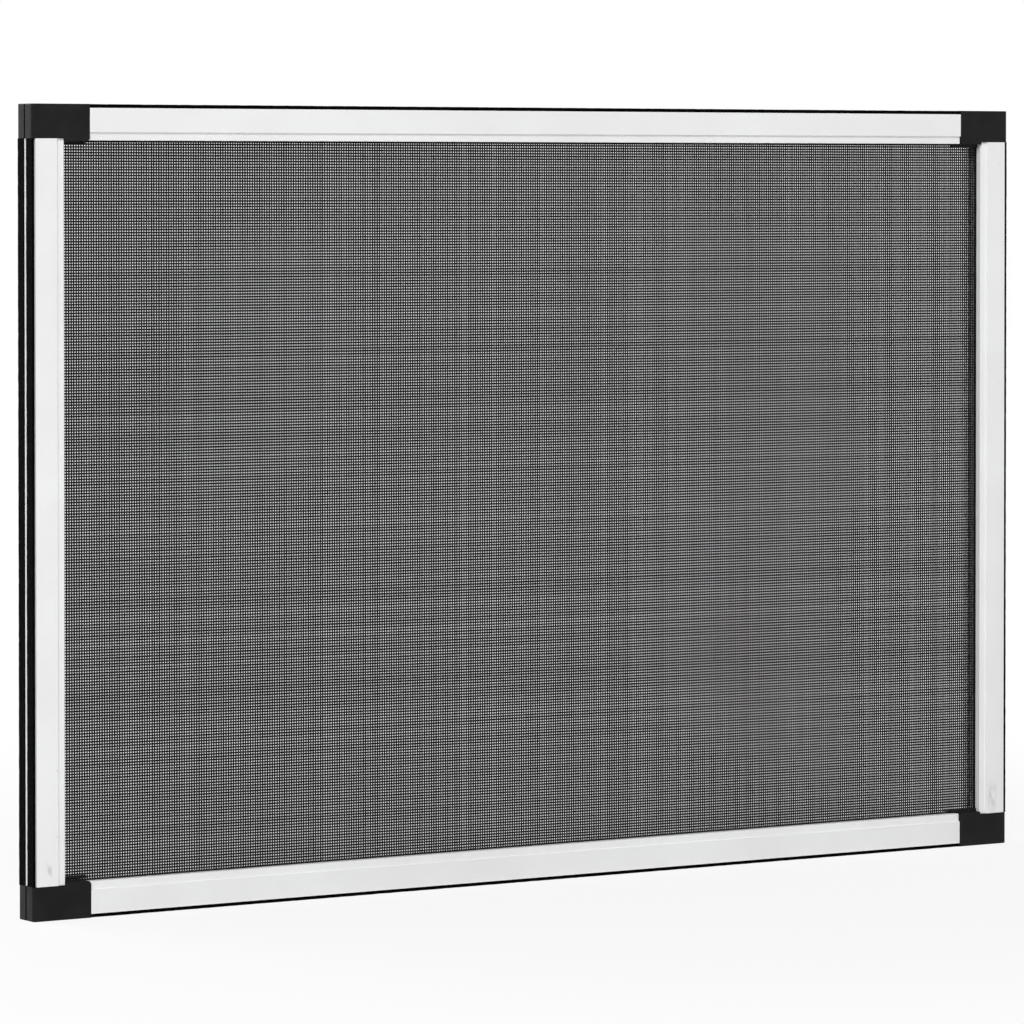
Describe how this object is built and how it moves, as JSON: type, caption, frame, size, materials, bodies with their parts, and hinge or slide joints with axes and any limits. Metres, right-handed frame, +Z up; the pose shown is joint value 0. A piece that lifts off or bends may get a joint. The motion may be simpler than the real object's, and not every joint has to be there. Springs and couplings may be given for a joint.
{
  "type": "extendable window insect screen",
  "caption": "Extendable window insect screen: two equal white aluminium frames with dark mesh, black corner pieces and brush seals, which slide sideways along each other.",
  "frame": {"origin": "under the middle of the closed screen, on the surface that it stands on", "axes": "+X along the rails to the right, +Y from the front frame to the rear frame, +Z up"},
  "size_m": [0.75, 0.02, 0.5],
  "materials": {
    "white_aluminium": "white powder coat, satin",
    "black_plastic": "fine matt moulded plastic",
    "black_pile": "dense woven pile",
    "dark_mesh": "coated glass fibre mesh",
    "white_rubber": "soft extruded cord, white"
  },
  "bodies": {
    "front_frame": {"front_top_rail": "white_aluminium", "front_bottom_rail": "white_aluminium", "front_left_stile": "white_aluminium", "front_right_stile": "white_aluminium", "front_top_left_corner": "black_plastic", "front_top_right_corner": "black_plastic", "front_bottom_left_corner": "black_plastic", "front_bottom_right_corner": "black_plastic", "front_top_brush": "black_pile", "front_bottom_brush": "black_pile", "front_left_brush": "black_pile", "front_right_brush": "black_pile", "front_top_spline": "white_rubber", "front_bottom_spline": "white_rubber", "front_left_spline": "white_rubber", "front_right_spline": "white_rubber", "front_mesh": "dark_mesh"},
    "rear_frame": {"rear_top_rail": "white_aluminium", "rear_bottom_rail": "white_aluminium", "rear_left_stile": "white_aluminium", "rear_right_stile": "white_aluminium", "rear_top_left_corner": "black_plastic", "rear_top_right_corner": "black_plastic", "rear_bottom_left_corner": "black_plastic", "rear_bottom_right_corner": "black_plastic", "rear_top_brush": "black_pile", "rear_bottom_brush": "black_pile", "rear_left_brush": "black_pile", "rear_right_brush": "black_pile", "rear_top_spline": "white_rubber", "rear_bottom_spline": "white_rubber", "rear_left_spline": "white_rubber", "rear_right_spline": "white_rubber", "rear_mesh": "dark_mesh"}
  },
  "joints": [
    {"name": "extension", "type": "slide", "parent": "front_frame", "child": "rear_frame", "axis": [1, 0, 0], "range_m": [0, 0.68]}
  ]
}
